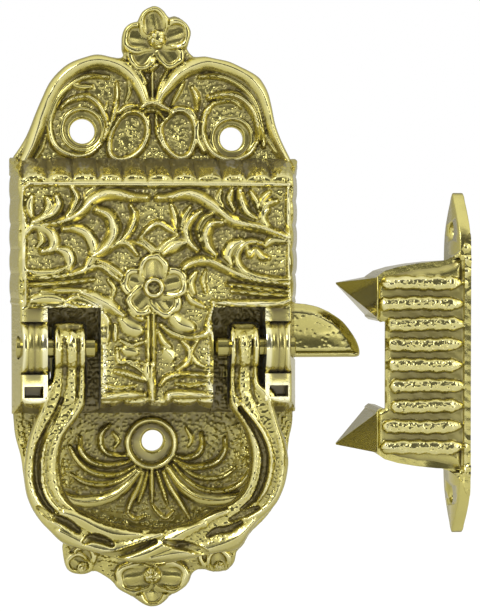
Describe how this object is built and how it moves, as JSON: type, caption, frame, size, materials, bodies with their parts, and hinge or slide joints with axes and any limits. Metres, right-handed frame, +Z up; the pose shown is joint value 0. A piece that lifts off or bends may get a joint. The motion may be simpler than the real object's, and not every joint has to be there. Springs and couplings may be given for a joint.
{
  "type": "icebox latch",
  "caption": "Ornate cast brass icebox latch with a swinging rope-edged bail pull, a pivoted bolt with a hooked beak, and its ribbed two-toothed strike.",
  "frame": {"origin": "on the door face, on the latch's centre line, midway between the tip of the crest and the tip of the lower flower", "axes": "+Z up along the latch, -Y out of the door towards the viewer, +X to the right, towards the strike"},
  "size_m": [0.0863, 0.0163, 0.1142],
  "materials": {
    "cast_brass": "polished cast",
    "bail_brass": "polished cast",
    "bolt_brass": "polished",
    "pin_brass": "polished",
    "strike_brass": "polished cast",
    "sheet_brass": "rolled",
    "steel_stud": "turned",
    "spring_steel": "drawn wire",
    "screw_steel": "zinc plated"
  },
  "bodies": {
    "case": {"front_casting": "cast_brass", "pivot_pin_left": "pin_brass", "pivot_pin_right": "pin_brass", "bolt_stud": "steel_stud", "bolt_spring": "spring_steel", "back_cover": "sheet_brass", "cover_screw_1": "screw_steel", "cover_screw_2": "screw_steel", "cover_screw_3": "screw_steel", "cover_screw_4": "screw_steel", "strike": "strike_brass"},
    "bail": {"bail": "bail_brass"},
    "bolt": {"bolt": "bolt_brass"}
  },
  "joints": [
    {"name": "bail_swing", "type": "hinge", "parent": "case", "child": "bail", "pos_m": [0, -0.0107, -0.0071], "axis": [-1, 0, 0], "range_deg": [0, 50]},
    {"name": "bolt_lift", "type": "hinge", "parent": "case", "child": "bolt", "pos_m": [0, -0.00335, -0.008], "axis": [0, -1, 0], "range_deg": [0, 10], "stiffness_Nm_per_rad": 0.05, "springref_deg": -11.46, "deforming": ["bolt_spring"]}
  ],
  "couplings": [
    {"joint": "bolt_lift", "follows": "bail_swing", "ratio": 0.2}
  ]
}
